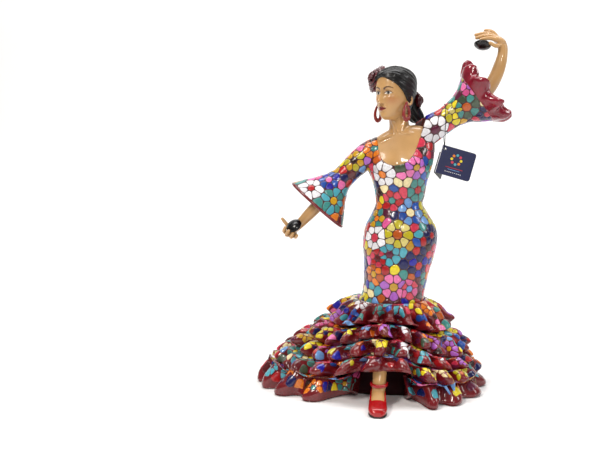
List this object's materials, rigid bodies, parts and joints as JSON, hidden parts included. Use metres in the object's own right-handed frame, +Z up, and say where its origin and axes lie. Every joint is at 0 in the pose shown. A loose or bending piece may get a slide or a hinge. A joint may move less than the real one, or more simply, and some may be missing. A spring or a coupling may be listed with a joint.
{
  "type": "dancer figurine",
  "caption": "Glazed resin flamenco dancer with a raised arm, castanets, a mosaic dress over ruffled flounces, and a folded card tag that swings on a thread.",
  "frame": {"origin": "on the floor under the dress, on the felt's underside", "axes": "+Z up from the floor to the raised hand, -Y towards the front of the figure, +X towards its raised left arm"},
  "size_m": [0.2769, 0.2169, 0.3938],
  "materials": {
    "glazed_mosaic": "hand-painted resin under clear gloss",
    "maroon_glaze": "deep red paint under clear gloss",
    "skin_glaze": "warm skin paint under clear gloss",
    "black_glaze": "black paint under clear gloss",
    "flower_red": "dark red paint",
    "shoe_red": "red paint under clear gloss",
    "raw_resin": "unpainted cast resin",
    "pin_steel": "plain drawn wire",
    "green_felt": "felt",
    "tag_card": "coated card",
    "thread": "black thread"
  },
  "bodies": {
    "figure": {"dress_body": "glazed_mosaic", "skirt_flounce_1": "maroon_glaze", "skirt_flounce_2": "maroon_glaze", "skirt_flounce_3": "maroon_glaze", "skirt_flounce_4": "maroon_glaze", "skirt_flounce_5": "maroon_glaze", "head_and_bust": "skin_glaze", "hair": "black_glaze", "hair_flower_front": "flower_red", "hair_flower_back": "flower_red", "earring_left": "shoe_red", "earring_right": "shoe_red", "sleeve_right": "glazed_mosaic", "sleeve_left": "glazed_mosaic", "sleeve_left_frill": "maroon_glaze", "forearm_right": "skin_glaze", "forearm_left": "skin_glaze", "castanet_right_inner": "black_glaze", "castanet_right_outer": "black_glaze", "castanet_left_inner": "black_glaze", "castanet_left_outer": "black_glaze", "leg": "skin_glaze", "ankle_strap": "shoe_red", "shoe": "shoe_red", "shoe_sole": "black_glaze", "shoe_heel": "black_glaze", "skirt_core": "raw_resin", "base_plate": "raw_resin", "base_felt": "green_felt", "arm_pin_right": "pin_steel", "arm_pin_left": "pin_steel", "waist_pin": "pin_steel"},
    "tag": {"tag_cover": "tag_card", "tag_thread": "thread"},
    "tag_back": {"tag_back_leaf": "tag_card"}
  },
  "joints": [
    {"name": "tag_swing", "type": "hinge", "parent": "figure", "child": "tag", "pos_m": [0.062, 0.002, 0.2952], "axis": [1, 0, 0], "range_deg": [-30, 30]},
    {"name": "tag_open", "type": "hinge", "parent": "tag", "child": "tag_back", "pos_m": [0.06, -0.0005, 0.2693], "axis": [0.2696, 0.2079, 0.9403], "range_deg": [-68, 25], "stiffness_Nm_per_rad": 0.0005}
  ]
}
